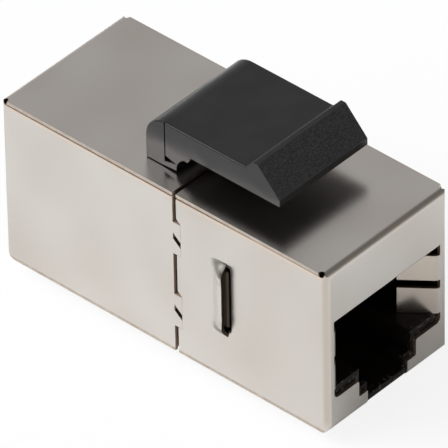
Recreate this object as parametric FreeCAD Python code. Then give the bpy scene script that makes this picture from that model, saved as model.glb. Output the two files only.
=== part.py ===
import FreeCAD, Part
import math
import os

from FreeCAD import Vector

# Inline coupler for two eight-contact plugs, in millimetres.
# +Z is up, -Y is the front port, +Y the rear port, X runs across the body.
# The origin lies under the middle of the body, level with the lowest point of the keystone hook.
# Depths are measured back from the front face, and heights up from the underside of the body.

# Body
BODY_WIDTH = 14.5
BODY_HEIGHT = 16.05
BODY_LENGTH = 34.3

# Folded sheet shields
SHEET = 0.3
FOLD_RADIUS = 0.6
REAR_BOTTOM_FOLD_RADIUS = 1.1
FRONT_SHIELD_LENGTH = 15.6
SEAM_GAP = 0.38
FRONT_FLAP_GAPS = (0.05, 0.2)
REAR_FLAP_GAPS = (0.14, 0.16)
FLAP_GAP_START = 0.35
FLAP_GAP_TAPER_START = 6.5
BOTTOM_FLAP_GAP = 0.2
CORNER_RELIEF_RADIUS = 0.25
CORNER_RELIEF_DEPTH = 0.5

# Plug opening in the end of each shield: a wide window with two steps down for the plug's tab
WINDOW_WIDTH = 12.66
WINDOW_BOTTOM = 3.1
WINDOW_TOP = 10.9
WINDOW_CORNER_RADIUS = 0.5
FIRST_STEP_WIDTH = 6.8
FIRST_STEP_BOTTOM = 1.5
STEP_CORNER_RADIUS = 0.2
TAB_SLOT_WIDTH = 4.75
TAB_SLOT_LENGTH = 1.5

# Sprung fingers that touch the plug's own shield, two at each side of the window
FINGER_HEIGHTS = ((4.05, 6.57), (7.38, 9.87))
FINGER_LENGTH = 3.2
FINGER_ANGLE = 38.0
FINGER_BEND_RADIUS = 0.45
FINGER_BEND_START = 6.38
FINGER_ROOT = 0.15

# Lanced louvers that stop the body in a keystone hole
LOUVER_BOTTOM = 4.35
LOUVER_TOP = 11.9
LOUVER_LIP_DEPTH = 10.3
LOUVER_FOOT_DEPTH = 12.2
LOUVER_RISE = 0.74
LOUVER_END = 1.0
LOUVER_EASING = 0.9
LOUVER_ROWS = 5
LOUVER_COLUMNS = 13
LOUVER_HOLLOW_INSET = 0.15
LOUVER_SLIT = 0.38
LOUVER_SLIT_HEIGHTS = (4.95, 11.55)
LOUVER_SLIT_RADIUS = 0.3

# Ribs of the front housing that stand behind the louvers
RIB_REACH = 0.95
RIB_HEIGHTS = (5.35, 10.9)
RIB_EDGE = 0.12
RIB_GAP = 0.04

# Tabs of the rear shield that lock into notches of the front shield
TAB_HEIGHTS = ((2.6, 5.8), (9.95, 13.1))
TAB_REACH = 0.79
TAB_NOTCH = 0.43
TAB_SIDE_GAP = 0.03
TAB_TOP_GAP = 0.12
NOTCH_FLARE = 0.36
TAB_SLIT_TOP = 1.0
TAB_SLIT_DROP = 0.85
TAB_SLIT_HEIGHT = 0.6
TAB_SLIT_ROOT = 0.06

# Moulded housings
HOUSING_GAP = 0.05
HOUSING_LENGTH = 15.95
CAVITY_WIDTH = 11.9
CAVITY_BOTTOM = 4.0
CAVITY_TOP = 10.5
CAVITY_DEPTH = 12.5
SHOULDER_WIDTH = 6.2
SHOULDER_BOTTOM = 2.1
CHANNEL_WIDTH = 4.3
CHANNEL_BOTTOM = 1.0
CHANNEL_WALL = 1.6
CHANNEL_END = 8.0
FINGER_POCKET_DEPTH = 0.6
FINGER_POCKET_LENGTH = 4.2
LIP_GAP = 0.04

# Fixed keystone hook under the front housing
HOOK_DROP = 1.3
HOOK_WIDTH = 5.8
HOOK_FRONT = 6.3
HOOK_LAND = 7.9
HOOK_CATCH = 9.0
HOOK_WINDOW_GAP = 0.15

# Contacts, their carrier and the circuit board
CONTACT_COUNT = 8
CONTACT_PITCH = 1.02
CONTACT_WIDTH = 0.4
CONTACT_THICKNESS = 0.3
CONTACT_BEND_RADIUS = 0.38
CONTACT_NOSE_HEIGHT = 1.15
CONTACT_RUN_HEIGHT = 12.05
CONTACT_NOSE_DEPTH = 2.75
CONTACT_TIP_DEPTH = 12.9
CONTACT_TIP_HEIGHT = 7.15
CONTACT_PROUD = 0.3
CONTACT_TAIL_LENGTH = 1.9
CONTACT_TAIL_BEND = 0.3
LOW_TAIL_HEIGHT = 10.4
TAIL_HOLE = 0.6
SLOT_WIDTH = 0.56
SLOT_END_WALL = 0.3
CARRIER_WIDTH = 9.2
CARRIER_FRONT = 2.2
CARRIER_BACK = 13.9
CARRIER_TOP = 13.6
COMB_BOTTOM = 6.9
COMB_BACK = 13.3
BEND_POCKET_BOTTOM = 9.9
BEND_POCKET_TOP = 14.05
BOARD_THICKNESS = 1.2
BOARD_WIDTH = 13.0
BOARD_BOTTOM = 1.2
BOARD_TOP = 15.0

# Keystone latch, a moulded lever on the top of the body; its heights are measured from the top of the body
LATCH_WIDTH = 10.38
LATCH_BACK = 20.58
LATCH_TIP = 6.52
LATCH_TOP = 4.38
LATCH_LIP_TOP = 2.85
LATCH_BACK_RADIUS = 2.1
LATCH_EDGE_RADIUS = 0.15
TOOTH_FOOT = 9.95
TOOTH_BACK = 9.25
TOOTH_FRONT = 8.75
TOOTH_TOP = 5.24
TOOTH_EDGE_RADIUS = 0.12
TOOTH_FOOT_RADIUS = 0.35
CAVE_ARC = ((16.22, 1.57), (15.98, 1.84), (15.87, 2.22))
BASE_FRONT_ARC = ((17.35, 0.5), (17.08, 1.15), (16.5, 1.64))
BASE_GAPS = (0.1, 0.22)
BASE_GAP_START = 18.9
SIDE_GROOVE_DEPTHS = (18.48, 18.6)
SIDE_GROOVE_BOTTOM = 0.55
SIDE_GROOVE = 0.14
SIDE_WEDGE = ((18.56, 1.16), (18.56, SIDE_GROOVE_BOTTOM), (17.32, 0.83))
SIDE_WEDGE_DEPTH = 0.45

# The latch's foot and the pins on which it turns, in a pocket of the rear housing
FOOT_INSET = 0.35
FOOT_DEPTHS = (18.5, 20.2)
FOOT_BOTTOM = -1.5
FOOT_WINDOW_GAP = 0.15
FOOT_POCKET_GAP = 0.2
PIN_DEPTH = 19.0
PIN_HEIGHT = -0.9
PIN_RADIUS = 0.35
PIN_LENGTH = 0.65
PIN_GAP = 0.05

# Derived places
HALF_WIDTH = BODY_WIDTH / 2
FRONT_FACE = -BODY_LENGTH / 2
BODY_BOTTOM = HOOK_DROP
BOARD_FRONT = (BODY_LENGTH - BOARD_THICKNESS) / 2
REAR_SHIELD_LENGTH = BODY_LENGTH - FRONT_SHIELD_LENGTH - SEAM_GAP
SEAM_BACK = FRONT_SHIELD_LENGTH + SEAM_GAP

# How far the cutting shapes run past the faces that they cut, and how closely edges are matched
OVERCUT = 0.1
TINY = 1e-4


def at(x, depth, height):
    """A point from its place across, its depth behind the front face and its height above the underside."""
    return Vector(x, FRONT_FACE + depth, BODY_BOTTOM + height)


def block(x_range, depth_range, height_range):
    """A box between two limits each way."""
    size = [high - low for low, high in (x_range, depth_range, height_range)]
    return Part.makeBox(*size, at(x_range[0], depth_range[0], height_range[0]))


def middle_block(width, depth_range, height_range):
    """A box centred across the body."""
    return block((-width / 2, width / 2), depth_range, height_range)


def face_of(points):
    """A flat face inside a closed outline of points."""
    return Part.Face(Part.makePolygon(points + [points[0]]))


def along_x(outline, x_range):
    """An outline of (depth, height) points drawn out across the body."""
    points = [at(x_range[0], depth, height) for depth, height in outline]
    return face_of(points).extrude(Vector(x_range[1] - x_range[0], 0, 0))


def along_y(outline, depth_range):
    """An outline of (x, height) points drawn out along the body."""
    points = [at(x, depth_range[0], height) for x, height in outline]
    return face_of(points).extrude(Vector(0, depth_range[1] - depth_range[0], 0))


def drawn_face(start, steps, place):
    """A face inside an outline of straight steps, of one point each, and arcs, of a middle and an end point."""
    edges = []
    last = start
    for step in steps:
        points = [place(*point) for point in (last, *step)]
        curve = Part.Arc if len(points) == 3 else Part.LineSegment
        edges.append(curve(*points).toShape())
        last = step[-1]
    return Part.Face(Part.Wire(edges))


def both_sides(shape):
    """A shape and its mirror image across the middle of the body."""
    return [shape, shape.mirror(Vector(0, 0, 0), Vector(1, 0, 0))]


def turned_to_rear(shape):
    """The same piece at the rear end: turned half a turn about the upright axis."""
    turned = shape.copy()
    turned.rotate(Vector(0, 0, 0), Vector(0, 0, 1), 180)
    return turned


def rounded(shape, radius, chosen):
    """A shape with the edges for which chosen(edge) is true rounded off."""
    edges = [edge for edge in shape.Edges if chosen(edge)]
    return shape.makeFillet(radius, edges)


def runs_through(spot, *axes):
    """Tells edges of which every end lies level with a spot along the given axes."""
    def chosen(edge):
        return all(abs(getattr(vertex, axis) - getattr(spot, axis.lower())) < TINY
                   for vertex in edge.Vertexes for axis in axes)
    return chosen


def bent_strip(route, thickness, bend_radius, place):
    """The face of a strip bent along a route of (u, v) points, with each bend a true arc.

    place(u, v) turns the route's own coordinates into a point in space.
    """
    count = len(route)
    steps = [(route[i + 1][0] - route[i][0], route[i + 1][1] - route[i][1]) for i in range(count - 1)]
    lengths = [math.hypot(*step) for step in steps]
    along = [(step[0] / length, step[1] / length) for step, length in zip(steps, lengths)]

    def side(shift):
        """The edges of one side of the strip, from the route's start to its end."""
        edges = []
        last = (route[0][0] - along[0][1] * shift, route[0][1] + along[0][0] * shift)
        for i in range(1, count - 1):
            before, after = along[i - 1], along[i]
            turn = math.atan2(before[0] * after[1] - before[1] * after[0],
                              before[0] * after[0] + before[1] * after[1])
            hand = math.copysign(1, turn)
            trim = bend_radius * math.tan(abs(turn) / 2)
            start = (route[i][0] - before[0] * trim, route[i][1] - before[1] * trim)
            centre = (start[0] - before[1] * bend_radius * hand, start[1] + before[0] * bend_radius * hand)
            radius = bend_radius - shift * hand
            arc = []
            for share in (0.0, 0.5, 1.0):
                heading = math.atan2(before[1], before[0]) + turn * share
                arc.append((centre[0] + math.sin(heading) * radius * hand,
                            centre[1] - math.cos(heading) * radius * hand))
            edges.append(Part.LineSegment(place(*last), place(*arc[0])).toShape())
            edges.append(Part.Arc(*[place(*point) for point in arc]).toShape())
            last = arc[2]
        end = (route[-1][0] - along[-1][1] * shift, route[-1][1] + along[-1][0] * shift)
        edges.append(Part.LineSegment(place(*last), place(*end)).toShape())
        return edges, end

    near, near_end = side(thickness / 2)
    far, far_end = side(-thickness / 2)
    near_start = (route[0][0] - along[0][1] * thickness / 2, route[0][1] + along[0][0] * thickness / 2)
    far_start = (route[0][0] + along[0][1] * thickness / 2, route[0][1] - along[0][0] * thickness / 2)
    caps = [
        Part.LineSegment(place(*near_end), place(*far_end)).toShape(),
        Part.LineSegment(place(*near_start), place(*far_start)).toShape(),
    ]
    return Part.Face(Part.Wire(Part.__sortEdges__(near + far + caps)))


# Shields ----------------------------------------------------------------------------------------


def end_rounded(width, depth_range, height_range, fold_radius, bottom_radius):
    """A block whose front edges are rounded, the lower one with a radius of its own."""
    body = middle_block(width, depth_range, height_range)
    corner = at(0, depth_range[0], height_range[0])
    on_front = runs_through(corner, "Y")
    low_front = runs_through(corner, "Y", "Z")
    if bottom_radius == fold_radius:
        return rounded(body, fold_radius, on_front)
    body = rounded(body, fold_radius, lambda edge: on_front(edge) and not low_front(edge))
    profile = middle_block(width + OVERCUT, depth_range, height_range)
    return body.common(rounded(profile, bottom_radius, low_front))


def folded_box(length, bottom_radius):
    """An end face and its four flaps, folded to a box that is open at the back."""
    outer = end_rounded(BODY_WIDTH, (0, length), (0, BODY_HEIGHT), FOLD_RADIUS, bottom_radius)
    inner = end_rounded(BODY_WIDTH - 2 * SHEET, (SHEET, length + OVERCUT), (SHEET, BODY_HEIGHT - SHEET),
                        FOLD_RADIUS - SHEET, bottom_radius - SHEET)
    return outer.cut(inner)


def flap_gaps(length, bottom_radius, gaps):
    """The gaps between the flaps: the top flap lies over the side flaps, the bottom flap between them."""
    side = (HALF_WIDTH - SHEET - OVERCUT, HALF_WIDTH + OVERCUT)
    level = BODY_HEIGHT - SHEET
    end = length + OVERCUT
    at_fold, at_seam = gaps
    upper = [
        (FLAP_GAP_START, level), (end, level), (end, level - at_seam),
        (FLAP_GAP_TAPER_START, level - at_fold), (FLAP_GAP_START, level - at_fold),
    ]
    between = (HALF_WIDTH - SHEET - BOTTOM_FLAP_GAP, HALF_WIDTH - SHEET)
    lower = block(between, (bottom_radius, end), (-OVERCUT, SHEET + OVERCUT))
    inside = at(HALF_WIDTH - FOLD_RADIUS, CORNER_RELIEF_DEPTH, BODY_HEIGHT - FOLD_RADIUS)
    corner_hole = Part.makeCylinder(CORNER_RELIEF_RADIUS, 2 * FOLD_RADIUS, inside, Vector(1, 0, 1))
    cuts = []
    for cut in (along_x(upper, side), lower, corner_hole):
        cuts += both_sides(cut)
    return cuts


def plug_window(bottom_radius):
    """The stepped plug opening of a shield, open through the bottom fold for the plug's tab."""
    half = WINDOW_WIDTH / 2
    step = FIRST_STEP_WIDTH / 2
    slot = TAB_SLOT_WIDTH / 2
    outline = [
        (-half, WINDOW_TOP), (-half, WINDOW_BOTTOM), (-step, WINDOW_BOTTOM), (-step, FIRST_STEP_BOTTOM),
        (-slot, FIRST_STEP_BOTTOM), (-slot, -OVERCUT), (slot, -OVERCUT), (slot, FIRST_STEP_BOTTOM),
        (step, FIRST_STEP_BOTTOM), (step, WINDOW_BOTTOM), (half, WINDOW_BOTTOM), (half, WINDOW_TOP),
    ]
    opening = along_y(outline, (-OVERCUT, SHEET + OVERCUT))
    corners = [
        (half, WINDOW_BOTTOM, WINDOW_CORNER_RADIUS),
        (step, WINDOW_BOTTOM, STEP_CORNER_RADIUS),
        (step, FIRST_STEP_BOTTOM, STEP_CORNER_RADIUS),
    ]
    for x, height, radius in corners:
        for hand in (-1, 1):
            opening = rounded(opening, radius, runs_through(at(x * hand, 0, height), "X", "Z"))
    release = middle_block(TAB_SLOT_WIDTH, (-OVERCUT, TAB_SLOT_LENGTH), (-OVERCUT, bottom_radius))
    return [opening, release]


def shield_fingers():
    """Sprung fingers folded inward from the sides of the plug window."""
    reach = math.radians(FINGER_ANGLE)
    bend = FINGER_BEND_START - FINGER_BEND_RADIUS * math.tan((math.pi / 2 - reach) / 2)
    level = SHEET / 2
    route = [
        (FINGER_BEND_START + FINGER_ROOT, level),
        (bend, level),
        (bend - FINGER_LENGTH * math.sin(reach), level + FINGER_LENGTH * math.cos(reach)),
    ]
    fingers = []
    for low, high in FINGER_HEIGHTS:
        face = bent_strip(route, SHEET, FINGER_BEND_RADIUS, lambda x, depth: at(x, depth, low))
        fingers += both_sides(face.extrude(Vector(0, 0, high - low)))
    return fingers


def shield(length, bottom_radius, gaps):
    """One folded shield with its plug window and fingers, open at the seam end."""
    shell = folded_box(length, bottom_radius)
    shell = shell.cut(flap_gaps(length, bottom_radius, gaps) + plug_window(bottom_radius))
    return shell.fuse(shield_fingers())


def eased(share):
    """A rise from 0 to 1 that starts and ends gently."""
    share = max(0.0, min(1.0, share))
    return (1 - LOUVER_EASING) * share + LOUVER_EASING * share * share * (3 - 2 * share)


def louver_form(shift, inset, base):
    """The form of a louver on the +X side: its curved outer face, moved in by shift, down to the base.

    The face is drawn through points that lie closer together near the louver's ends, where it bends most.
    """
    back = LOUVER_FOOT_DEPTH - 2 * inset
    low, high = LOUVER_BOTTOM + inset, LOUVER_TOP - inset
    rows = []
    for row in range(LOUVER_ROWS):
        depth = LOUVER_LIP_DEPTH + (back - LOUVER_LIP_DEPTH) * row / (LOUVER_ROWS - 1)
        slope = eased((LOUVER_FOOT_DEPTH - depth) / (LOUVER_FOOT_DEPTH - LOUVER_LIP_DEPTH))
        points = []
        for column in range(LOUVER_COLUMNS):
            share = (1 - math.cos(math.pi * column / (LOUVER_COLUMNS - 1))) / 2
            height = low + (high - low) * share
            end = eased(min(height - LOUVER_BOTTOM, LOUVER_TOP - height) / LOUVER_END)
            points.append(at(HALF_WIDTH - shift + LOUVER_RISE * slope * end, depth, height))
        rows.append(points)
    surface = Part.BSplineSurface()
    surface.interpolate(rows)
    solid = surface.toShape().extrude(Vector(-2 * LOUVER_RISE, 0, 0))
    return solid.common(block((base, HALF_WIDTH + 2 * LOUVER_RISE), (0, BODY_LENGTH), (0, BODY_HEIGHT)))


def add_louvers(shell):
    """Lances a louver out of each side flap: its mouth faces the front, and its ramp falls to the rear."""
    inner_side = HALF_WIDTH - SHEET
    raised = louver_form(0, 0, inner_side)
    hollow = louver_form(SHEET, LOUVER_HOLLOW_INSET, inner_side - OVERCUT)
    front = LOUVER_LIP_DEPTH - LOUVER_SLIT
    slit = block((inner_side - OVERCUT, HALF_WIDTH + OVERCUT), (front, LOUVER_LIP_DEPTH), LOUVER_SLIT_HEIGHTS)
    for height in LOUVER_SLIT_HEIGHTS:
        slit = rounded(slit, LOUVER_SLIT_RADIUS, runs_through(at(0, front, height), "Y", "Z"))
    shell = shell.fuse(both_sides(raised))
    return shell.cut(both_sides(hollow) + both_sides(slit))


def seam_notches():
    """Notches in the seam edge of the front shield's side flaps, each flared at its upper corner."""
    side = (HALF_WIDTH - SHEET - OVERCUT, HALF_WIDTH + OVERCUT)
    floor = FRONT_SHIELD_LENGTH - TAB_NOTCH
    back = FRONT_SHIELD_LENGTH + OVERCUT
    cuts = []
    for low, high in TAB_HEIGHTS:
        top = high + TAB_TOP_GAP
        outline = [
            (floor, low - TAB_SIDE_GAP), (floor, top), (FRONT_SHIELD_LENGTH, top + NOTCH_FLARE),
            (back, top + NOTCH_FLARE), (back, low - TAB_SIDE_GAP),
        ]
        cuts += both_sides(along_x(outline, side))
    return cuts


def seam_tabs():
    """Tabs on the seam edge of the rear shield, each with a slanting slit so that it can be spread."""
    tip = SEAM_BACK - TAB_REACH
    root = SEAM_BACK + TAB_SLIT_ROOT
    side = (HALF_WIDTH - SHEET, HALF_WIDTH)
    tabs = []
    for low, high in TAB_HEIGHTS:
        tab = block(side, (tip, SEAM_BACK + OVERCUT), (low, high))
        start = high - TAB_SLIT_TOP
        slit = [
            (root, start), (tip - OVERCUT, start - TAB_SLIT_DROP),
            (tip - OVERCUT, start - TAB_SLIT_DROP - TAB_SLIT_HEIGHT), (root, start - TAB_SLIT_HEIGHT),
        ]
        tabs += both_sides(tab.cut(along_x(slit, (side[0] - OVERCUT, side[1] + OVERCUT))))
    return tabs


def front_shield():
    """The front shield: louvers, seam notches and a window for the keystone hook."""
    shell = add_louvers(shield(FRONT_SHIELD_LENGTH, FOLD_RADIUS, FRONT_FLAP_GAPS))
    window = middle_block(HOOK_WIDTH + 2 * HOOK_WINDOW_GAP,
                          (HOOK_FRONT - HOOK_WINDOW_GAP, HOOK_CATCH + HOOK_WINDOW_GAP),
                          (-OVERCUT, SHEET + OVERCUT))
    return shell.cut(seam_notches() + [window])


def foot_space(gap, height_range):
    """The room round the latch's foot."""
    return middle_block(LATCH_WIDTH - 2 * FOOT_INSET + 2 * gap, (FOOT_DEPTHS[0] - gap, FOOT_DEPTHS[1] + gap),
                        height_range)


def rear_shield():
    """The rear shield: seam tabs and a window in the top for the latch's foot."""
    shell = turned_to_rear(shield(REAR_SHIELD_LENGTH, REAR_BOTTOM_FOLD_RADIUS, REAR_FLAP_GAPS))
    window = foot_space(FOOT_WINDOW_GAP, (BODY_HEIGHT - SHEET - OVERCUT, BODY_HEIGHT + OVERCUT))
    return shell.cut(window).fuse(seam_tabs())


# Housings ---------------------------------------------------------------------------------------


def contact_places():
    """The places of the contacts across the body, from -X to +X."""
    first = -(CONTACT_COUNT - 1) / 2 * CONTACT_PITCH
    return [first + index * CONTACT_PITCH for index in range(CONTACT_COUNT)]


def plug_cavity():
    """The plug cavity of a housing: the main space, the shoulder step and the tab channel behind its wall."""
    front = SHEET - OVERCUT
    channel_wall = SHEET + CHANNEL_WALL
    main = middle_block(CAVITY_WIDTH, (front, CAVITY_DEPTH), (CAVITY_BOTTOM, CAVITY_TOP))
    shoulder = middle_block(SHOULDER_WIDTH, (front, CAVITY_DEPTH), (SHOULDER_BOTTOM, CAVITY_BOTTOM + OVERCUT))
    low = (CHANNEL_BOTTOM, SHOULDER_BOTTOM + OVERCUT)
    mouth = middle_block(CHANNEL_WIDTH, (front, channel_wall + OVERCUT), low)
    pocket = middle_block(SHOULDER_WIDTH, (channel_wall, CHANNEL_END), low)
    finger_room = middle_block(CAVITY_WIDTH + 2 * FINGER_POCKET_DEPTH, (front, SHEET + FINGER_POCKET_LENGTH),
                               (CAVITY_BOTTOM, CAVITY_TOP))
    return main.fuse([shoulder, mouth, pocket, finger_room]).removeSplitter()


def contact_room():
    """The room in a housing for the contact carrier, the contacts' tails and the comb for their tips."""
    carrier = middle_block(CARRIER_WIDTH, (CARRIER_FRONT, CARRIER_BACK), (CAVITY_TOP - OVERCUT, CARRIER_TOP))
    bends = middle_block(CARRIER_WIDTH, (CARRIER_BACK - OVERCUT, SHEET + HOUSING_LENGTH + OVERCUT),
                         (BEND_POCKET_BOTTOM, BEND_POCKET_TOP))
    comb = []
    for x in contact_places():
        comb.append(block((x - SLOT_WIDTH / 2, x + SLOT_WIDTH / 2), (CAVITY_DEPTH - OVERCUT, COMB_BACK),
                          (COMB_BOTTOM, CAVITY_TOP + OVERCUT)))
    return [carrier, bends] + comb


def housing(bottom_radius):
    """A moulded housing with its plug cavity, and a lip that fills the shield's tab slot, at the front end."""
    side = BODY_WIDTH - 2 * SHEET - 2 * HOUSING_GAP
    inner_radii = [radius - SHEET + HOUSING_GAP for radius in (FOLD_RADIUS, bottom_radius)]
    body = end_rounded(side, (SHEET, SHEET + HOUSING_LENGTH), (SHEET, BODY_HEIGHT - SHEET - HOUSING_GAP),
                       *inner_radii)
    envelope = end_rounded(side, (LIP_GAP, TAB_SLOT_LENGTH - LIP_GAP), (LIP_GAP, BODY_HEIGHT),
                           FOLD_RADIUS, bottom_radius)
    lip = envelope.common(middle_block(TAB_SLOT_WIDTH - 2 * LIP_GAP, (0, TAB_SLOT_LENGTH), (0, CHANNEL_BOTTOM)))
    return body.cut([plug_cavity()] + contact_room()).fuse(lip).removeSplitter()


def keystone_hook():
    """The fixed hook under the front housing: a slope at the front and an upright catch at the back."""
    root = SHEET + OVERCUT
    outline = [
        (HOOK_FRONT, root), (HOOK_FRONT, 0), (HOOK_LAND, -HOOK_DROP), (HOOK_CATCH, -HOOK_DROP), (HOOK_CATCH, root),
    ]
    return along_x(outline, (-HOOK_WIDTH / 2, HOOK_WIDTH / 2))


def louver_ribs():
    """The ribs that stand behind the louvers, with a slanted front edge."""
    face = HALF_WIDTH - RIB_GAP
    root = HALF_WIDTH - SHEET - HOUSING_GAP - OVERCUT
    front = LOUVER_LIP_DEPTH
    low, high = RIB_HEIGHTS
    outline = [
        (root, front), (face - RIB_EDGE, front), (face, front + RIB_EDGE), (face, front + RIB_REACH),
        (root, front + RIB_REACH),
    ]
    points = [at(x, depth, low) for x, depth in outline]
    return both_sides(face_of(points).extrude(Vector(0, 0, high - low)))


def front_housing():
    """The front housing with the keystone hook under it and a rib behind each louver."""
    return housing(FOLD_RADIUS).fuse([keystone_hook()] + louver_ribs()).removeSplitter()


def rear_housing():
    """The rear housing with the pocket and the pin holes that hold the latch's foot."""
    pocket = foot_space(FOOT_POCKET_GAP, (BODY_HEIGHT + FOOT_BOTTOM - FOOT_POCKET_GAP, BODY_HEIGHT))
    holes = pin_row(PIN_RADIUS + PIN_GAP, PIN_LENGTH + PIN_GAP)
    return turned_to_rear(housing(REAR_BOTTOM_FOLD_RADIUS)).cut([pocket, holes])


# Contacts and board -----------------------------------------------------------------------------


def contact(x, low_tail):
    """One spring contact: a tail in the board, a run to the front, a nose, and a sprung leg into the cavity."""
    run = CONTACT_RUN_HEIGHT
    end = BOARD_FRONT + BOARD_THICKNESS + CONTACT_PROUD
    tail = [(end, run)]
    if low_tail:
        tail = [
            (end, LOW_TAIL_HEIGHT),
            (CARRIER_BACK + CONTACT_TAIL_LENGTH, LOW_TAIL_HEIGHT),
            (CARRIER_BACK + CONTACT_TAIL_BEND, run),
        ]
    route = tail + [
        (CONTACT_NOSE_DEPTH, run),
        (CONTACT_NOSE_DEPTH, run - CONTACT_NOSE_HEIGHT),
        (CONTACT_TIP_DEPTH, CONTACT_TIP_HEIGHT),
    ]
    start = x - CONTACT_WIDTH / 2
    face = bent_strip(route, CONTACT_THICKNESS, CONTACT_BEND_RADIUS,
                      lambda depth, height: at(start, depth, height))
    return face.extrude(Vector(CONTACT_WIDTH, 0, 0))


def contacts():
    """The eight contacts of one port, with high and low tails in turn."""
    return [contact(x, index % 2 == 1) for index, x in enumerate(contact_places())]


def contact_carrier():
    """The moulded carrier that holds the contacts above the cavity, with fins between them."""
    body = middle_block(CARRIER_WIDTH, (CARRIER_FRONT, CARRIER_BACK), (CAVITY_TOP, CARRIER_TOP))
    slot_top = CONTACT_RUN_HEIGHT + CONTACT_THICKNESS / 2
    slots = []
    for x in contact_places():
        slots.append(block((x - SLOT_WIDTH / 2, x + SLOT_WIDTH / 2),
                           (CARRIER_FRONT + SLOT_END_WALL, CARRIER_BACK + OVERCUT),
                           (CAVITY_TOP - OVERCUT, slot_top)))
    return body.cut(slots)


def circuit_board():
    """The board between the housings, with a hole round each contact's tail."""
    board = middle_block(BOARD_WIDTH, (BOARD_FRONT, BOARD_FRONT + BOARD_THICKNESS), (BOARD_BOTTOM, BOARD_TOP))
    holes = []
    for x in contact_places():
        for height in (CONTACT_RUN_HEIGHT, LOW_TAIL_HEIGHT):
            start = at(x, BOARD_FRONT - OVERCUT, height)
            holes.append(Part.makeCylinder(TAIL_HOLE / 2, BOARD_THICKNESS + 2 * OVERCUT, start, Vector(0, 1, 0)))
    return board.cut(holes)


# Latch ------------------------------------------------------------------------------------------


def above_top(depth, height):
    """A point in the latch's side view, on the middle plane."""
    return at(0, depth, BODY_HEIGHT + height)


def pin_row(radius, length):
    """Both pins of the latch's foot as one bar through it."""
    half = LATCH_WIDTH / 2 - FOOT_INSET + length
    spot = at(-half, PIN_DEPTH, BODY_HEIGHT + PIN_HEIGHT)
    return Part.makeCylinder(radius, 2 * half, spot, Vector(1, 0, 0))


def latch_arm():
    """The latch above the body: base, arm, and the tooth with its thumb wedge in front."""
    low_back, low_front = BASE_GAPS
    cusp, cave_middle, cave_top = CAVE_ARC
    arc_bottom, arc_middle, arc_top = BASE_FRONT_ARC
    steps = [
        ((LATCH_BACK, LATCH_TOP),),
        ((TOOTH_FOOT, LATCH_TOP),),
        ((TOOTH_BACK, TOOTH_TOP),),
        ((TOOTH_FRONT, TOOTH_TOP),),
        ((LATCH_TIP, LATCH_LIP_TOP),),
        ((LATCH_TIP, cave_top[1]),),
        (cave_top,),
        (cave_middle, cusp),
        (arc_top,),
        (arc_middle, arc_bottom),
        ((arc_bottom[0], low_front),),
        ((BASE_GAP_START, low_back),),
        ((LATCH_BACK, low_back),),
    ]
    half = LATCH_WIDTH / 2
    face = drawn_face((LATCH_BACK, low_back), steps, above_top)
    arm = face.extrude(Vector(LATCH_WIDTH, 0, 0))
    arm.translate(Vector(-half, 0, 0))
    arm = rounded(arm, LATCH_BACK_RADIUS, runs_through(above_top(LATCH_BACK, LATCH_TOP), "Y", "Z"))
    for x in (-half, half):
        spot = above_top(0, LATCH_TOP) + Vector(x, 0, 0)
        arm = rounded(arm, LATCH_EDGE_RADIUS, runs_through(spot, "X", "Z"))
    crosswise = [
        (TOOTH_FOOT, LATCH_TOP, TOOTH_FOOT_RADIUS), (TOOTH_BACK, TOOTH_TOP, TOOTH_EDGE_RADIUS),
        (TOOTH_FRONT, TOOTH_TOP, TOOTH_EDGE_RADIUS), (LATCH_TIP, LATCH_LIP_TOP, TOOTH_EDGE_RADIUS),
    ]
    for depth, height, radius in crosswise:
        arm = rounded(arm, radius, runs_through(above_top(depth, height), "Y", "Z"))
    return arm


def side_marks():
    """The upright groove in each side of the latch, and the wedge-shaped recess under it."""
    half = LATCH_WIDTH / 2
    groove = block((half - SIDE_GROOVE, half + OVERCUT), SIDE_GROOVE_DEPTHS,
                   (BODY_HEIGHT + SIDE_GROOVE_BOTTOM, BODY_HEIGHT + LATCH_TOP + OVERCUT))
    wedge = along_x([(depth, BODY_HEIGHT + height) for depth, height in SIDE_WEDGE],
                    (half - SIDE_WEDGE_DEPTH, half + OVERCUT))
    return both_sides(groove) + both_sides(wedge)


def keystone_latch():
    """The latch: an arm over the body and a foot with two pins in it."""
    foot = foot_space(0, (BODY_HEIGHT + FOOT_BOTTOM, BODY_HEIGHT + BASE_GAPS[1] + OVERCUT))
    foot = foot.fuse(pin_row(PIN_RADIUS, PIN_LENGTH))
    return latch_arm().cut(side_marks()).fuse(foot).removeSplitter()


def save(name, shape):
    """Writes one piece and prints its size for a quick look."""
    if shape.ShapeType != "Solid" and len(shape.Solids) == 1:
        shape = shape.Solids[0]
    assert shape.isValid() and len(shape.Solids) == 1, name
    shape.exportStep(f"parts/{name}.step")
    box = shape.BoundBox
    print(f"{name:24s} volume {shape.Volume:9.3f}  size {box.XLength:.2f} x {box.YLength:.2f} x {box.ZLength:.2f}")


def main():
    os.makedirs("parts", exist_ok=True)
    save("front_shield", front_shield())
    save("rear_shield", rear_shield())
    save("front_housing", front_housing())
    save("rear_housing", rear_housing())
    save("front_contact_carrier", contact_carrier())
    save("rear_contact_carrier", turned_to_rear(contact_carrier()))
    front = contacts()
    rear = [turned_to_rear(piece) for piece in front]
    save("circuit_board", circuit_board())
    save("keystone_latch", keystone_latch())
    for number in range(CONTACT_COUNT):
        save(f"front_contact_{number + 1}", front[number])
        save(f"rear_contact_{number + 1}", rear[number])


main()
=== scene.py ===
# %% [markdown]
# # An inline coupler for network leads
# Two modular sockets stand back to back in a folded, nickel plated sheet box, with a black moulded latch on top.
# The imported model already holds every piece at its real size, so this lesson is mostly about finishes: what
# plated sheet, moulded plastic, gold plated wire and solder look like close up, and which settings give that
# look. Everything is in metres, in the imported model's own frame: +Z is up and -Y is the front port.

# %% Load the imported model
import math

import bpy
from mathutils import Matrix, Vector


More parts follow.
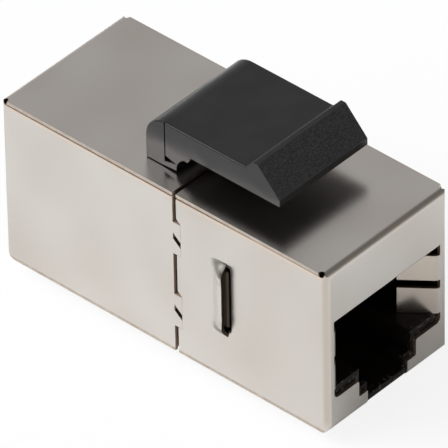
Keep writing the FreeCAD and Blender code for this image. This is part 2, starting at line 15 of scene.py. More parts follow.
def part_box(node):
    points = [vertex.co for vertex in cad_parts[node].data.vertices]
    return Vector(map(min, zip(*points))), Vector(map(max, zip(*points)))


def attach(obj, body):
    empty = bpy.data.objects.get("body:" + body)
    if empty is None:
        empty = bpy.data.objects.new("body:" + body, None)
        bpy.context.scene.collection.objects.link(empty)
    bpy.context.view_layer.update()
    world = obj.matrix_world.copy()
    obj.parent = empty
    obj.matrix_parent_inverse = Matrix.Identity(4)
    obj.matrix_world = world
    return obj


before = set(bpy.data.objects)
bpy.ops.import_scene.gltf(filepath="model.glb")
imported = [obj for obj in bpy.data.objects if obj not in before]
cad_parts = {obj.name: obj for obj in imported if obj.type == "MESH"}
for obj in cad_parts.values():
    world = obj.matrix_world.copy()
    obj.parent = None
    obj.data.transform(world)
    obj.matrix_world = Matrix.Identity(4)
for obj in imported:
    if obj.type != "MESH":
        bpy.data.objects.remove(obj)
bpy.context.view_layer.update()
MM = 0.001

# %% [markdown]
# ## Reading places from the model
# Nothing below is placed by eye. The two shields are the outside of the body, so their own boxes give its width,
# height and length, and every pattern and mask is worked out from those. Typed numbers would be quicker to write,
# but a change in the model would leave them behind.

# %% The main places
front_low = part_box("front_shield")[0]
rear_low, rear_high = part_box("rear_shield")
body_bottom, body_top = rear_low[2], rear_high[2]
front_face, rear_face = front_low[1], rear_high[1]
half_width = rear_high[0]
half_length = (rear_face - front_face) / 2
half_height = (body_top - body_bottom) / 2
middle = Vector((0, (front_face + rear_face) / 2, (body_bottom + body_top) / 2))
SHEET = 0.3 * MM
print("body (mm):", [round(2 * v / MM, 2) for v in (half_width, half_length, half_height)])

# %% [markdown]
# ## Small helpers
# Colours are written as sRGB hex, as a paint chart gives them, and turned to the linear light that shaders use.
# A material can be built by hand in the node editor, but here one function adds a node with its settings and its
# links, so each line of a material says one thing and the whole of it can be read from top to bottom.


# %% Colour and node helpers
def linear(hex_colour):
    """A #rrggbb colour as linear light, fully opaque."""
    channels = [int(hex_colour[i:i + 2], 16) / 255 for i in (1, 3, 5)]
    lit = [c / 12.92 if c <= 0.04045 else ((c + 0.055) / 1.055) ** 2.4 for c in channels]
    return (*lit, 1.0)


def add(tree, kind, inputs=None, **settings):
    """Adds one node. inputs maps a socket's name or number to a value or to another node's output."""
    node = tree.nodes.new(kind)
    for name, value in settings.items():
        setattr(node, name, value)
    for name, value in (inputs or {}).items():
        socket = node.inputs[name]
        if isinstance(value, bpy.types.NodeSocket):
            tree.links.new(value, socket)
        else:
            socket.default_value = value
    return node


def new_material(name):
    """An empty material, its tree, and a node that gives the piece's own coordinates."""
    material = bpy.data.materials.new(name)
    material.use_nodes = True
    tree = material.node_tree
    tree.nodes.clear()
    return material, tree, add(tree, "ShaderNodeTexCoord")


def finish_material(tree, shader, bump=None):
    """Joins a shader to the output, after its bump if it has one."""
    if bump is not None:
        tree.links.new(bump.outputs[0], shader.inputs["Normal"])
    add(tree, "ShaderNodeOutputMaterial", {"Surface": shader.outputs[0]})


print("a middle grey, #808080, as linear light:", round(linear("#808080")[0], 3))

# %% [markdown]
# ## The camera
# Small products are shot with a long lens from well back, which keeps their long edges nearly parallel. The camera
# stands to the left of the front port and looks down on the body. Two angles and a distance place it. A tracking
# constraint could aim it instead, but the angles can be read and changed one at a time.

# %% Camera
CAMERA_AZIMUTH = math.radians(-47.548)
CAMERA_ELEVATION = math.radians(38.944)
CAMERA_ROLL = math.radians(-1.076)
CAMERA_DISTANCE = 769.7 * MM
CAMERA_DROP = 0.142 * MM
SENSOR_WIDTH = 36.0
LENS = 780.85
NEAREST_SEEN = 50 * MM
FARTHEST_SEEN = 20.0
AIM_HEIGHT = 8 * MM
AIM = Vector((0, 0, body_bottom + AIM_HEIGHT))

back = Vector((math.sin(CAMERA_AZIMUTH) * math.cos(CAMERA_ELEVATION),
               -math.cos(CAMERA_AZIMUTH) * math.cos(CAMERA_ELEVATION), math.sin(CAMERA_ELEVATION)))
level_right = (-back).cross(Vector((0, 0, 1))).normalized()
level_up = level_right.cross(-back)
right = level_right * math.cos(CAMERA_ROLL) + level_up * math.sin(CAMERA_ROLL)
up = level_up * math.cos(CAMERA_ROLL) - level_right * math.sin(CAMERA_ROLL)

camera_data = bpy.data.cameras.new("camera")
camera_data.sensor_width = SENSOR_WIDTH
camera_data.lens = LENS
camera_data.clip_start = NEAREST_SEEN
camera_data.clip_end = FARTHEST_SEEN
camera = bpy.data.objects.new("camera", camera_data)
turn = Matrix((right, up, back)).transposed().to_4x4()
camera.matrix_world = Matrix.Translation(AIM + back * CAMERA_DISTANCE - up * CAMERA_DROP) @ turn
bpy.context.scene.collection.objects.link(camera)
bpy.context.scene.camera = camera
bpy.context.scene.view_settings.view_transform = "Standard"
print("camera at (mm):", [round(v / MM) for v in camera.matrix_world.translation])

# %% [markdown]
# ## The table
# The coupler stands on a wide sheet of white paper. The paper has to look white to the eye and still take the
# coupler's shadow, and brighter lamps would burn out the metal long before the paper was white. So the paper is a
# plain diffuse white, and where the camera sees it directly, most of it is a glow at the strength of white. The
# metal sees only a little of that glow, because its pale sides mirror this table and would clip.

# %% Table
FLOOR_SIZE = 3.0
SEEN_WHITE = 0.86
MIRRORED_WHITE = 0.05
floor_mesh = bpy.data.meshes.new("floor")
s = FLOOR_SIZE / 2
floor_mesh.from_pydata([(-s, -s, 0), (s, -s, 0), (s, s, 0), (-s, s, 0)], [], [(0, 1, 2, 3)])
floor = bpy.data.objects.new("floor", floor_mesh)
bpy.context.scene.collection.objects.link(floor)

table_paper, tree, place = new_material("white_table_paper")
paper = add(tree, "ShaderNodeBsdfDiffuse", {"Color": linear("#f3f3f2")})
glow = add(tree, "ShaderNodeEmission", {"Color": (1, 1, 1, 1), "Strength": 1.0})
ray = add(tree, "ShaderNodeLightPath")
mirror = add(tree, "ShaderNodeMath", {0: ray.outputs["Is Glossy Ray"], 1: ray.outputs["Is Transmission Ray"]},
             operation="MAXIMUM")
mirror_share = add(tree, "ShaderNodeMath", {0: mirror.outputs[0], 1: MIRRORED_WHITE}, operation="MULTIPLY")
share = add(tree, "ShaderNodeMath", {0: ray.outputs["Is Camera Ray"], 1: SEEN_WHITE, 2: mirror_share.outputs[0]},
            operation="MULTIPLY_ADD")
mixed = add(tree, "ShaderNodeMixShader", {"Fac": share.outputs[0], 1: paper.outputs[0], 2: glow.outputs[0]})
finish_material(tree, mixed)
floor_mesh.materials.append(table_paper)
print("table (m):", FLOOR_SIZE, "glow seen and mirrored:", SEEN_WHITE, MIRRORED_WHITE)

# %% [markdown]
# ## The room that the metal mirrors
# Bright metal shows its surroundings more than itself, so the studio is designed from what each face mirrors. The
# sides and the front mirror the table, its lit part and the part in the body's own shadow. The top mirrors the far
# wall, which is mid grey, and the fold between top and front mirrors a dark part of the room. Walls could be
# modelled, but a world needs no geometry: it is a grey that grows darker with height, times one soft round place
# for each dark wall or bright cloth. Each place is a direction, how close to it the change starts and ends, as the
# cosine of an angle, and what the grey is multiplied by there.

# %% Surroundings
HORIZON = 0.65
CEILING = 0.49
CEILING_START = 0.45
KEY_DIRECTION = (-0.57, 0.52, 0.63)
PLACES = {"dark wall right of the camera": ((0.574, -0.44, 0.69), 0.7, 0.97, 0.42),
          "dark wall low at the left rear": ((-0.85, 0.51, 0.1), 0.85, 0.97, 0.15),
          "dark ceiling overhead": ((0, 0, 1), 0.8, 0.95, 0.15),
          "cloth of the key lamp": (KEY_DIRECTION, 0.84, 0.93, 2.0),
          "bright middle of that cloth": ((-0.55, 0.46, 0.7), 0.96, 0.992, 6.0)}
world = bpy.data.worlds.new("studio")
bpy.context.scene.world = world
world.use_nodes = True
tree = world.node_tree
tree.nodes.clear()
view = add(tree, "ShaderNodeTexCoord")
height = add(tree, "ShaderNodeSeparateXYZ", {0: view.outputs["Generated"]})
light = add(tree, "ShaderNodeMapRange", {"Value": height.outputs[2], "From Min": 0.0, "From Max": CEILING_START,
                                         "To Min": HORIZON, "To Max": CEILING}, interpolation_type="SMOOTHSTEP")
for direction, edge, core, factor in PLACES.values():
    closeness = add(tree, "ShaderNodeVectorMath", {0: view.outputs["Generated"], 1: Vector(direction).normalized()},
                    operation="DOT_PRODUCT")
    level = add(tree, "ShaderNodeMapRange", {"Value": closeness.outputs["Value"], "From Min": edge,
                                             "From Max": core, "To Min": 1.0, "To Max": factor},
                interpolation_type="SMOOTHSTEP")
    light = add(tree, "ShaderNodeMath", {0: light.outputs[0], 1: level.outputs[0]}, operation="MULTIPLY")
surround = add(tree, "ShaderNodeBackground", {"Color": (1, 1, 1, 1), "Strength": light.outputs[0]})
add(tree, "ShaderNodeOutputWorld", {"Surface": surround.outputs[0]})
print("places in the room:", ", ".join(PLACES))

# %% [markdown]
# ## The lamps
# One large soft key lamp stands high, behind the coupler and to its left, and throws the latch's shadow forward and
# to the right. A small weak fill opens the shadows from the front. Metal that mirrored the key would clip to white,
# so the key is hidden from mirrored rays, and the two bright places in the world above stand in for its cloth.


# %% Lamps
def soft_lamp(name, direction, distance, size, power, colour):
    """A square soft lamp that faces the middle of the object from a direction."""
    data = bpy.data.lights.new(name, "AREA")
    data.size = size
    data.energy = power
    data.color = linear(colour)[:3]
    lamp = bpy.data.objects.new(name, data)
    aim = Vector(direction).normalized()
    facing_in = aim.to_track_quat("Z", "Y").to_matrix().to_4x4()
    lamp.matrix_world = Matrix.Translation(AIM + aim * distance) @ facing_in
    bpy.context.scene.collection.objects.link(lamp)
    return lamp


key = soft_lamp("key_left_rear", KEY_DIRECTION, distance=0.85, size=0.9, power=7.9, colour="#f7fafd")
key.visible_glossy = False
fill = soft_lamp("fill_front_left", (-0.38, -0.82, 0.42), distance=0.9, size=0.4, power=0.2, colour="#ffffff")
print("lamps (W):", {lamp.name: round(lamp.data.energy, 2) for lamp in (key, fill)})

# %% [markdown]
# ## Nickel plated sheet
# The shields are thin steel sheet: rolled, stamped, folded and plated with bright nickel, a warm grey metal.
# Plate follows the rolled surface under it, so it blurs what it mirrors, in soft clouds. Its sheared edges are
# rough and brown, because the plate is thin there. The folds are painted a little browner and darker, a painted
# shade for the dark room that the bends mirror. A louver is duller where it was stretched, and its leaning ends,
# the corners next to its lip and the lip's cut edge are painted grey and dark: painted shade. Each of these could
# be painted on by hand, or be a material of its own on chosen faces. Here they are masks found from each point's
# place and the way it faces, so that the model's own faces can stay as they are.

# %% Nickel: where a point lies and which way it faces
nickel, tree, place = new_material("bright_nickel_on_rolled_sheet")
here = place.outputs["Object"]
at = add(tree, "ShaderNodeSeparateXYZ", {0: here})
inward = add(tree, "ShaderNodeVectorMath", {0: here, 1: middle}, operation="SUBTRACT")
inward = add(tree, "ShaderNodeVectorMath", {0: inward.outputs[0]}, operation="ABSOLUTE")
apart = add(tree, "ShaderNodeSeparateXYZ", {0: inward.outputs[0]})
facing = add(tree, "ShaderNodeVectorMath", {0: place.outputs["Normal"]}, operation="ABSOLUTE")
turned = add(tree, "ShaderNodeSeparateXYZ", {0: facing.outputs[0]})
print("middle of the body (mm):", [round(v / MM, 2) for v in middle])

# %% Nickel: sheared edges
# A sheared edge lies inside the outer skin and faces squarely along an axis.
FACING = 0.9
EDGE_MARGIN = 0.05 * MM
END_MARGIN = 1 * MM
skin = Vector((half_width - SHEET - EDGE_MARGIN, half_length - END_MARGIN, half_height - SHEET - EDGE_MARGIN))
edges = []
for axis in range(3):
    inside = add(tree, "ShaderNodeMath", {0: apart.outputs[axis], 1: skin[axis]}, operation="LESS_THAN")
    squarely = add(tree, "ShaderNodeMath", {0: turned.outputs[axis], 1: FACING}, operation="GREATER_THAN")
    edges.append(add(tree, "ShaderNodeMath", {0: inside.outputs[0], 1: squarely.outputs[0]}, operation="MULTIPLY"))
cut = add(tree, "ShaderNodeMath", {0: edges[0].outputs[0], 1: edges[1].outputs[0]}, operation="MAXIMUM")
cut = add(tree, "ShaderNodeMath", {0: cut.outputs[0], 1: edges[2].outputs[0]}, operation="MAXIMUM")
print("sheared edges lie within (mm):", [round(v / MM, 2) for v in skin])

# %% Nickel: the top flap's edges, and the line where the side flaps meet them
SHEAR_LINE = 0.6 * MM
raised = add(tree, "ShaderNodeMath", {0: apart.outputs[2], 1: half_height - SHEET}, operation="GREATER_THAN")
sideways = add(tree, "ShaderNodeMath", {0: turned.outputs[0], 1: FACING}, operation="GREATER_THAN")
flap_edge = add(tree, "ShaderNodeMath", {0: raised.outputs[0], 1: sideways.outputs[0]}, operation="MULTIPLY")
flap_bottom = body_top - SHEET
sheared = add(tree, "ShaderNodeMapRange", {"Value": at.outputs[2], "From Min": flap_bottom - SHEAR_LINE,
                                           "From Max": flap_bottom})
sheared = add(tree, "ShaderNodeMath", {0: sheared.outputs[0], 1: sideways.outputs[0]}, operation="MULTIPLY")
print("top flap's underside at z (mm):", round(flap_bottom / MM, 2))

# %% Nickel: folds, with painted shade
# A point on a fold faces between two axes. The folds are painted browner and darker, a painted shade for the dark
# room that the bends mirror. The folds along the underside are left out, because they stay bright.
FLAT = 0.99
ROUND = 0.85
LOW_FOLD_START = 0.3 * MM
LOW_FOLD_END = 1.2 * MM
widest = add(tree, "ShaderNodeMath", {0: turned.outputs[0], 1: turned.outputs[1]}, operation="MAXIMUM")
widest = add(tree, "ShaderNodeMath", {0: widest.outputs[0], 1: turned.outputs[2]}, operation="MAXIMUM")
fold_shade = add(tree, "ShaderNodeMapRange", {"Value": widest.outputs[0], "From Min": FLAT, "From Max": ROUND})
upper = add(tree, "ShaderNodeMapRange", {"Value": at.outputs[2], "From Min": body_bottom + LOW_FOLD_START,
                                         "From Max": body_bottom + LOW_FOLD_END})
fold_shade = add(tree, "ShaderNodeMath", {0: fold_shade.outputs[0], 1: upper.outputs[0]}, operation="MULTIPLY")
print("folds are browner above z (mm):", round((body_bottom + LOW_FOLD_END) / MM, 2))

# %% Nickel: louvers
# The louvers are all that stands out past the sides. Their ends, which lean up or down, are painted grey and darker
# by how steeply they lean, and the corners next to the lip darker still: painted shade.
PROUD = 0.01 * MM
CORNER_SHADE_REACH = 0.5 * MM
CORNER_SHADE_LEAN = (0.1, 0.35)
LOUVER_END_SHADE = ((0.0, "#d5cfc9"), (0.25, "#96928d"), (0.45, "#97938e"), (0.6, "#d2cdc8"))
louver_points = [vertex.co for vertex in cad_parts["front_shield"].data.vertices
                 if abs(vertex.co.x) > half_width + EDGE_MARGIN]
lip_line = min(point.y for point in louver_points)
louver = add(tree, "ShaderNodeMath", {0: apart.outputs[0], 1: half_width + PROUD}, operation="GREATER_THAN")
# Painted shade: the cut edge of each louver's lip, facing along the body, is painted dark brown.
lip_edge_shade = add(tree, "ShaderNodeMath", {0: louver.outputs[0], 1: edges[1].outputs[0]}, operation="MULTIPLY")
# Painted shade: the steep corners of a louver's ends next to its lip are painted dark grey.
lip_corner_shade = add(tree, "ShaderNodeMapRange", {"Value": at.outputs[1], "From Min": lip_line + CORNER_SHADE_REACH,
                                        "From Max": lip_line})
steep = add(tree, "ShaderNodeMapRange", {"Value": turned.outputs[2], "From Min": CORNER_SHADE_LEAN[0],
                                         "From Max": CORNER_SHADE_LEAN[1]})
lip_corner_shade = add(tree, "ShaderNodeMath", {0: lip_corner_shade.outputs[0], 1: steep.outputs[0]}, operation="MULTIPLY")
lip_corner_shade = add(tree, "ShaderNodeMath", {0: lip_corner_shade.outputs[0], 1: louver.outputs[0]}, operation="MULTIPLY")
# Painted shade: the louvers' ends take a grey that darkens and lightens again with how steeply they lean.
end_shade_ramp = add(tree, "ShaderNodeValToRGB", {"Fac": turned.outputs[2]})
ramp = end_shade_ramp.color_ramp.elements
while len(ramp) < len(LOUVER_END_SHADE):
    ramp.new(1.0)
for stop, (spot, shade) in zip(ramp, LOUVER_END_SHADE):
    stop.position = spot
    stop.color = linear(shade)
print("louvers' lips at y (mm):", round(lip_line / MM, 2))

# %% Nickel: colours
# The plate comes first, and each special place is laid over what lies before it.
CLOUD = 6 * MM
EDGE_MARK = 0.5 * MM
cloud = add(tree, "ShaderNodeTexNoise", {"Vector": here, "Scale": 1 / CLOUD, "Detail": 0.0})
speck = add(tree, "ShaderNodeTexNoise", {"Vector": here, "Scale": 1 / EDGE_MARK, "Detail": 2.0})
plate, cut_tint, flap_tint = [
    add(tree, "ShaderNodeMix", {"Factor": noise.outputs["Fac"], 6: linear(low), 7: linear(high)}, data_type="RGBA")
    for noise, low, high in ((cloud, "#ddd8d3", "#cdc5bd"), (speck, "#8a7263", "#b39c8b"),
                             (speck, "#b3a496", "#ddd3c8"))]
# The fold, louver-end, lip-corner and lip layers are painted shade; the others are the plate's own colours.
layers = ((fold_shade, linear("#c9beb3")), (sheared, linear("#e2cfbe")), (louver, end_shade_ramp.outputs["Color"]),
          (lip_corner_shade, linear("#5d5751")), (cut, cut_tint.outputs[2]), (flap_edge, flap_tint.outputs[2]),
          (lip_edge_shade, linear("#3a2c22")))
colour = plate
for mask, tint in layers:
    colour = add(tree, "ShaderNodeMix", {"Factor": mask.outputs[0], 6: colour.outputs[2], 7: tint},
                 data_type="RGBA")
print("layers over the plate:", len(layers))

# %% Nickel: gloss
# Sheared places and the louvers' leaning ends are duller. The cut edges of the side walls have lost most of their
# plate, so they are less of a mirror too.
PLATE_ROUGHNESS = (0.245, 0.268)
WORN_ROUGHNESS = 0.5
BARE_METALLIC = 0.2
rough = add(tree, "ShaderNodeMapRange", {"Value": cloud.outputs["Fac"], "To Min": PLATE_ROUGHNESS[0],
                                         "To Max": PLATE_ROUGHNESS[1]})
stretched = add(tree, "ShaderNodeMath", {0: louver.outputs[0], 1: turned.outputs[2]}, operation="MULTIPLY")
worn = add(tree, "ShaderNodeMath", {0: cut.outputs[0], 1: flap_edge.outputs[0]}, operation="MAXIMUM")
worn = add(tree, "ShaderNodeMath", {0: worn.outputs[0], 1: stretched.outputs[0]}, operation="MAXIMUM")
rough = add(tree, "ShaderNodeMix", {0: worn.outputs[0], 2: rough.outputs[0], 3: WORN_ROUGHNESS})
side_wall = add(tree, "ShaderNodeMath", {0: apart.outputs[0], 1: half_width - SHEET / 2, 2: SHEET / 2 + PROUD},
                operation="COMPARE")
bare = add(tree, "ShaderNodeMath", {0: cut.outputs[0], 1: side_wall.outputs[0]}, operation="MULTIPLY")
metal = add(tree, "ShaderNodeMapRange", {"Value": bare.outputs[0], "To Min": 1.0, "To Max": BARE_METALLIC})
shader = add(tree, "ShaderNodeBsdfPrincipled", {"Base Color": colour.outputs[2], "Metallic": metal.outputs[0],
                                                "Roughness": rough.outputs[0]})
finish_material(tree, shader)
print("nickel nodes:", len(tree.nodes))

# %% [markdown]
# ## Black moulded housings
# The two housings and the contact carriers are glass filled nylon, moulded black. Glass fibres near the surface
# make it uneven, so its gloss breaks up into small glints. Near the ports' mouths a sparse noise also paints light
# grey specks on the rim, painted glints for the narrow ledges there. The ribs behind the louvers are painted a
# lighter brown, a painted highlight for the light their edges catch. The unevenness could be modelled, but it is
# far finer than the mesh, so one noise moves the glints' colour, the gloss and the bump together. Real fibres are
# about a tenth as thick as FIBRE and wouldn't show, so they are drawn as coarse as they need to be.

# %% Housing plastic
GLINT = 0.35 * MM
FIBRE = 0.12 * MM
FIBRE_RELIEF = 0.05 * MM
RIM = 0.8 * MM
RIB_DEPTH = 0.2 * MM
GLINT_PAINT_SPAN = (0.56, 0.66)
WAVE_SPAN = (0.35, 0.65)
HOUSING_ROUGHNESS = (0.3, 0.5)
housing_plastic, tree, place = new_material("black_glass_filled_nylon")
here = place.outputs["Object"]
waves = add(tree, "ShaderNodeTexNoise", {"Vector": here, "Scale": 1 / GLINT, "Detail": 3.0, "Roughness": 0.6})
fibres = add(tree, "ShaderNodeTexNoise", {"Vector": here, "Scale": 1 / FIBRE, "Detail": 1.0})
reach = add(tree, "ShaderNodeVectorMath", {0: here}, operation="ABSOLUTE")
reach = add(tree, "ShaderNodeSeparateXYZ", {0: reach.outputs[0]})
rim = add(tree, "ShaderNodeMapRange", {"Value": reach.outputs[1], "From Min": half_length - RIM,
                                       "From Max": half_length - SHEET})
# Painted highlight: the ribs behind the louvers are painted a lighter brown for the light their edges catch.
rib_edge_highlight = add(tree, "ShaderNodeMath", {0: reach.outputs[0], 1: half_width - RIB_DEPTH}, operation="GREATER_THAN")
# Painted glints: light grey specks where the noise peaks near the ports' mouths.
painted_glints = add(tree, "ShaderNodeMapRange", {"Value": waves.outputs["Fac"], "From Min": GLINT_PAINT_SPAN[0],
                                         "From Max": GLINT_PAINT_SPAN[1]})
painted_glints = add(tree, "ShaderNodeMath", {0: rim.outputs[0], 1: painted_glints.outputs[0]}, operation="MULTIPLY")
tint = add(tree, "ShaderNodeMix", {"Factor": fibres.outputs["Fac"], 6: linear("#0d0a09"), 7: linear("#17120f")},
           data_type="RGBA")
for mask, shade in ((painted_glints, "#5a5552"), (rib_edge_highlight, "#5a4d43")):
    tint = add(tree, "ShaderNodeMix", {"Factor": mask.outputs[0], 6: tint.outputs[2], 7: linear(shade)},
               data_type="RGBA")
rough = add(tree, "ShaderNodeMapRange", {"Value": waves.outputs["Fac"], "From Min": WAVE_SPAN[0],
                                         "From Max": WAVE_SPAN[1], "To Min": HOUSING_ROUGHNESS[0],
                                         "To Max": HOUSING_ROUGHNESS[1]})
bump = add(tree, "ShaderNodeBump", {"Height": waves.outputs["Fac"], "Strength": 0.35, "Distance": FIBRE_RELIEF})
shader = add(tree, "ShaderNodeBsdfPrincipled", {"Base Color": tint.outputs[2], "Roughness": rough.outputs[0],
                                                "Specular IOR Level": 0.12, "IOR": 1.53})
finish_material(tree, shader, bump)
print("housing nodes:", len(tree.nodes))

# %% [markdown]
# ## The latch
# The latch is moulded from polycarbonate. Its steel mould was polished where the arm and sides are, and left
# spark eroded on the wedge that a thumb presses, which gives that slope a fine dull grit. Thick parts sink a little
# as they cool, so the polished faces mirror the room in faint slow waves. Two materials could share the latch, but
# the wedge is the only place that leans forward and up, so the way a point faces is enough to find it. The real
# grit is several times finer than GRIT and would blur to an even grey, so it is drawn coarser.

# %% Latch plastic
GRIT = 0.16 * MM
GRIT_RELIEF = 0.05 * MM
GRIT_SPAN = (0.35, 0.65)
SINK = 3 * MM
SINK_RELIEF = 0.1 * MM
WEDGE_FACING = Vector((0, -0.731, 0.682))
WEDGE_SPAN = (0.9, 0.97)
LATCH_ROUGHNESS = (0.27, 0.6)
latch_plastic, tree, place = new_material("black_moulded_polycarbonate")
here = place.outputs["Object"]
lean = add(tree, "ShaderNodeVectorMath", {0: place.outputs["Normal"], 1: WEDGE_FACING}, operation="DOT_PRODUCT")
wedge = add(tree, "ShaderNodeMapRange", {"Value": lean.outputs["Value"], "From Min": WEDGE_SPAN[0],
                                         "From Max": WEDGE_SPAN[1]})
grit = add(tree, "ShaderNodeTexNoise", {"Vector": here, "Scale": 1 / GRIT, "Detail": 2.0, "Roughness": 0.7})
gritty = add(tree, "ShaderNodeMapRange", {"Value": grit.outputs["Fac"], "From Min": GRIT_SPAN[0],
                                          "From Max": GRIT_SPAN[1]})
flow = add(tree, "ShaderNodeTexNoise", {"Vector": here, "Scale": 1 / SINK, "Detail": 1.0})
dull = add(tree, "ShaderNodeMix", {"Factor": gritty.outputs[0], 6: linear("#050505"), 7: linear("#353234")},
           data_type="RGBA")
smooth = add(tree, "ShaderNodeMix", {"Factor": flow.outputs["Fac"], 6: linear("#080708"), 7: linear("#1b191b")},
             data_type="RGBA")
tint = add(tree, "ShaderNodeMix", {"Factor": wedge.outputs[0], 6: smooth.outputs[2], 7: dull.outputs[2]},
           data_type="RGBA")
rough = add(tree, "ShaderNodeMapRange", {"Value": wedge.outputs[0], "To Min": LATCH_ROUGHNESS[0],
                                         "To Max": LATCH_ROUGHNESS[1]})
sunk = add(tree, "ShaderNodeBump", {"Height": flow.outputs["Fac"], "Strength": 1.0, "Distance": SINK_RELIEF})
depth = add(tree, "ShaderNodeMath", {0: wedge.outputs[0], 1: grit.outputs["Fac"]}, operation="MULTIPLY")
bump = add(tree, "ShaderNodeBump", {"Height": depth.outputs[0], "Strength": 0.5, "Distance": GRIT_RELIEF,
                                    "Normal": sunk.outputs[0]})
shader = add(tree, "ShaderNodeBsdfPrincipled", {"Base Color": tint.outputs[2], "Roughness": rough.outputs[0],
                                                "IOR": 1.5})
finish_material(tree, shader, bump)
print("latch nodes:", len(tree.nodes))

# %% [markdown]
# ## Contacts, board and solder
# The contacts are drawn bronze wire, plated with gold where the plug touches them, and the board is covered with
# green solder mask over woven glass. Both are deep inside, so a simple version of each finish is enough. Drawing
# leaves lines along a wire, so its noise is squeezed across the wire by a Mapping node. The real lines are finer
# than DRAWN_LINE, which is as fine as can show. Solder sets with a fine ripple on a bright skin.

# %% Gold
DRAWN_LINE = 0.08 * MM
DRAWN_RELIEF = 0.01 * MM
gold, tree, place = new_material("gold_plated_bronze_wire")
along = add(tree, "ShaderNodeMapping", {"Vector": place.outputs["Object"],
                                        "Scale": (1 / DRAWN_LINE, 1 / MM, 1 / MM)})
drawn = add(tree, "ShaderNodeTexNoise", {"Vector": along.outputs[0], "Scale": 1.0, "Detail": 2.0})
bump = add(tree, "ShaderNodeBump", {"Height": drawn.outputs["Fac"], "Strength": 0.1, "Distance": DRAWN_RELIEF})
shader = add(tree, "ShaderNodeBsdfPrincipled", {"Base Color": linear("#e8c36a"), "Metallic": 1.0,
                                                "Roughness": 0.4})
finish_material(tree, shader, bump)
print("gold nodes:", len(tree.nodes))

# %% Solder mask
WEAVE = 0.5 * MM
WEAVE_RELIEF = 0.02 * MM
board_mask, tree, place = new_material("green_solder_mask")
weave = add(tree, "ShaderNodeTexNoise", {"Vector": place.outputs["Object"], "Scale": 1 / WEAVE, "Detail": 2.0})
tint = add(tree, "ShaderNodeMix", {"Factor": weave.outputs["Fac"], 6: linear("#1a4f2c"), 7: linear("#25663b")},
           data_type="RGBA")
bump = add(tree, "ShaderNodeBump", {"Height": weave.outputs["Fac"], "Strength": 0.1, "Distance": WEAVE_RELIEF})
shader = add(tree, "ShaderNodeBsdfPrincipled", {"Base Color": tint.outputs[2], "Roughness": 0.35, "IOR": 1.52})
finish_material(tree, shader, bump)
print("solder mask nodes:", len(tree.nodes))

# %% Solder
RIPPLE = 0.2 * MM
RIPPLE_RELIEF = 0.02 * MM
solder_metal, tree, place = new_material("tin_solder")
ripple = add(tree, "ShaderNodeTexNoise", {"Vector": place.outputs["Object"], "Scale": 1 / RIPPLE, "Detail": 2.0})
bump = add(tree, "ShaderNodeBump", {"Height": ripple.outputs["Fac"], "Strength": 0.15, "Distance": RIPPLE_RELIEF})
shader = add(tree, "ShaderNodeBsdfPrincipled", {"Base Color": linear("#c9c8c6"), "Metallic": 1.0,
                                                "Roughness": 0.3})
finish_material(tree, shader, bump)
print("solder nodes:", len(tree.nodes))

# %% [markdown]
# ## Dressing the pieces
# Every piece of the model is named for what it is, so its name is enough to choose its finish. Only the material
# is set: the meshes and their places stay as the model has them.

# %% Put the finishes on the model's pieces
finishes = {"shield": nickel, "housing": housing_plastic, "carrier": housing_plastic, "latch": latch_plastic,
            "board": board_mask, "contact": gold}
for name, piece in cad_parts.items():
    kind = next(word for word in finishes if word in name)
    piece.data.materials.clear()
    piece.data.materials.append(finishes[kind])
print("finished:", len(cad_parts))

# %% [markdown]
# ## Solder joints
# Each contact's tail goes through the board and is soldered on the far side, where the solder climbs the tail as
# a small cone. The joints are all alike and stand in a zigzag row, so Geometry Nodes make them: a line of points,
# every other one lower, with a cone on each. The same row, turned half a turn, serves the other side. Copies
# could be placed one by one, but the tree keeps their sizes and their count as inputs that can be changed.


# %% Where the tails come out
def tail_end(name):
    """The middle of the face at the rear end of a contact's tail."""
    points = [vertex.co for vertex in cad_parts[name].data.vertices]
    last = max(point.y for point in points)
    end = [point for point in points if last - point.y < EDGE_MARGIN]
    return sum(end, Vector()) / len(end)


first_tail, second_tail = tail_end("front_contact_1"), tail_end("front_contact_2")
board_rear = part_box("circuit_board")[1].y
tail_count = sum(name.startswith("front_contact_") and name[-1].isdigit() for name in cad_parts)
print("first tails (mm):", [[round(v / MM, 2) for v in tail] for tail in (first_tail, second_tail)])

# %% The sizes that the row of joints takes
JOINT_RADIUS = 0.42 * MM
JOINT_TIP = 0.2 * MM
JOINT_HEIGHT = 0.24 * MM
JOINT_SIDES = 20
JOINT_RINGS = 3
tree = bpy.data.node_groups.new("solder_joint_row", "GeometryNodeTree")
tree.interface.new_socket("Geometry", in_out="OUTPUT", socket_type="NodeSocketGeometry")
sizes = {"Count": ("NodeSocketInt", tail_count), "First Tail": ("NodeSocketVector", first_tail),
         "Pitch": ("NodeSocketFloat", second_tail.x - first_tail.x),
         "Drop": ("NodeSocketFloat", first_tail.z - second_tail.z),
         "Board Face": ("NodeSocketFloat", board_rear), "Joint Radius": ("NodeSocketFloat", JOINT_RADIUS),
         "Tip Radius": ("NodeSocketFloat", JOINT_TIP), "Joint Height": ("NodeSocketFloat", JOINT_HEIGHT),
         "Solder": ("NodeSocketMaterial", solder_metal)}
identifiers = {}
for name, (kind, value) in sizes.items():
    identifiers[name] = tree.interface.new_socket(name, in_out="INPUT", socket_type=kind).identifier
print("inputs:", ", ".join(identifiers))

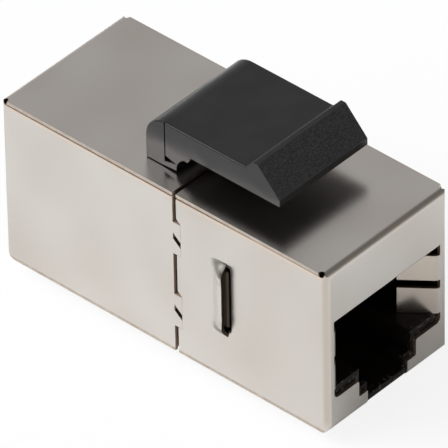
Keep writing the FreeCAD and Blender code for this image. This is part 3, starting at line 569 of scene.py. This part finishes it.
# %% The tree for the row of joints
size = add(tree, "NodeGroupInput").outputs
start = add(tree, "ShaderNodeSeparateXYZ", {0: size["First Tail"]})
start = add(tree, "ShaderNodeCombineXYZ", {0: start.outputs[0], 1: size["Board Face"], 2: start.outputs[2]})
step = add(tree, "ShaderNodeCombineXYZ", {0: size["Pitch"]})
row = add(tree, "GeometryNodeMeshLine", {"Count": size["Count"], "Start Location": start.outputs[0],
                                         "Offset": step.outputs[0]})
number = add(tree, "GeometryNodeInputIndex")
odd = add(tree, "ShaderNodeMath", {0: number.outputs[0], 1: 2.0}, operation="MODULO")
down = add(tree, "ShaderNodeMath", {0: odd.outputs[0], 1: size["Drop"]}, operation="MULTIPLY")
down = add(tree, "ShaderNodeMath", {0: down.outputs[0], 1: -1.0}, operation="MULTIPLY")
shift = add(tree, "ShaderNodeCombineXYZ", {2: down.outputs[0]})
zigzag = add(tree, "GeometryNodeSetPosition", {"Geometry": row.outputs[0], "Offset": shift.outputs[0]})
cone = add(tree, "GeometryNodeMeshCone", {"Vertices": JOINT_SIDES, "Side Segments": JOINT_RINGS,
                                          "Radius Bottom": size["Joint Radius"], "Radius Top": size["Tip Radius"],
                                          "Depth": size["Joint Height"]})
outward = add(tree, "GeometryNodeTransform", {"Geometry": cone.outputs["Mesh"],
                                              "Rotation": (math.radians(-90), 0, 0)})
joints = add(tree, "GeometryNodeInstanceOnPoints", {"Points": zigzag.outputs[0], "Instance": outward.outputs[0]})
other_side = add(tree, "GeometryNodeTransform", {"Geometry": joints.outputs[0], "Rotation": (0, 0, math.pi)})
both = add(tree, "GeometryNodeJoinGeometry")
tree.links.new(joints.outputs[0], both.inputs[0])
tree.links.new(other_side.outputs[0], both.inputs[0])
solid = add(tree, "GeometryNodeRealizeInstances", {0: both.outputs[0]})
painted = add(tree, "GeometryNodeSetMaterial", {"Geometry": solid.outputs[0], "Material": size["Solder"]})
add(tree, "NodeGroupOutput", {0: painted.outputs[0]})
print("row nodes:", len(tree.nodes))

# %% Make the joints
maker = bpy.data.objects.new("solder_joint_maker", bpy.data.meshes.new("solder_joint_maker"))
modifier = maker.modifiers.new("row", "NODES")
modifier.node_group = tree
for name, (kind, value) in sizes.items():
    modifier[identifiers[name]] = value
bpy.context.scene.collection.objects.link(maker)
bpy.context.view_layer.update()
result = maker.evaluated_get(bpy.context.evaluated_depsgraph_get())
solder = bpy.data.objects.new("solder_joints", bpy.data.meshes.new_from_object(result))
bpy.context.scene.collection.objects.link(solder)
maker.modifiers.clear()
bpy.data.objects.remove(maker)
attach(solder, "body")
print("solder joints:", 2 * tail_count, "triangles:", sum(len(p.vertices) - 2 for p in solder.data.polygons))
